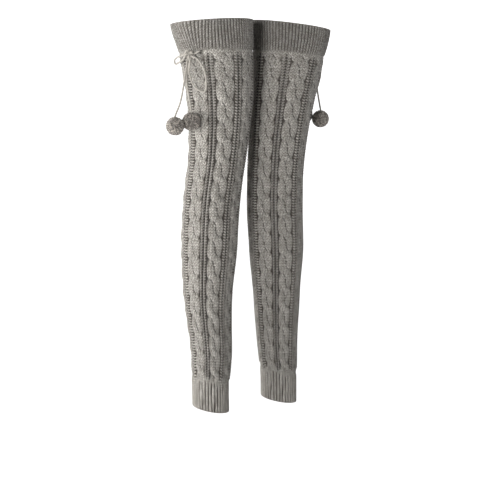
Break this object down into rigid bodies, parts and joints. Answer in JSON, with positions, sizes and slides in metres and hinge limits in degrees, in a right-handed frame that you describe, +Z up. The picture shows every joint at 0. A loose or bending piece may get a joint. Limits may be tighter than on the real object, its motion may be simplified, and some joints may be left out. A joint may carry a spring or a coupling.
{
  "type": "pair of cable-knit leg warmers",
  "caption": "Pair of long knitted leg warmers with rope cables, ribbed cuffs at top and ankle, and drawstring bows that end in hanging pompoms.",
  "frame": {"origin": "midway between the two top openings, at the height of their rims, where the wearer's thighs hold the pair", "axes": "+Z up along the legs, -Y towards the wearer's front, +X towards the wearer's left"},
  "size_m": [0.3324, 0.1538, 0.6738],
  "materials": {
    "cable_knit": "matt chunky knit, warm mid grey marl",
    "rib_knit": "matt ribbed knit, warm mid grey marl",
    "cord_yarn": "matt knitted cord, pale warm grey",
    "pompom_yarn": "cut yarn, dark grey"
  },
  "bodies": {
    "root": {"right_top_cuff": "rib_knit", "right_leg": "cable_knit", "right_ankle_cuff": "rib_knit", "right_drawstring": "cord_yarn", "right_knot": "cord_yarn", "right_loop_back": "cord_yarn", "right_loop_front": "cord_yarn", "right_tail_a": "cord_yarn", "right_tail_b": "cord_yarn", "right_pompom_a": "pompom_yarn", "right_pompom_b": "pompom_yarn", "left_top_cuff": "rib_knit", "left_leg": "cable_knit", "left_ankle_cuff": "rib_knit", "left_drawstring": "cord_yarn", "left_knot": "cord_yarn", "left_loop_back": "cord_yarn", "left_loop_front": "cord_yarn", "left_tail_a": "cord_yarn", "left_tail_b": "cord_yarn", "left_pompom_a": "pompom_yarn", "left_pompom_b": "pompom_yarn"}
  },
  "joints": []
}
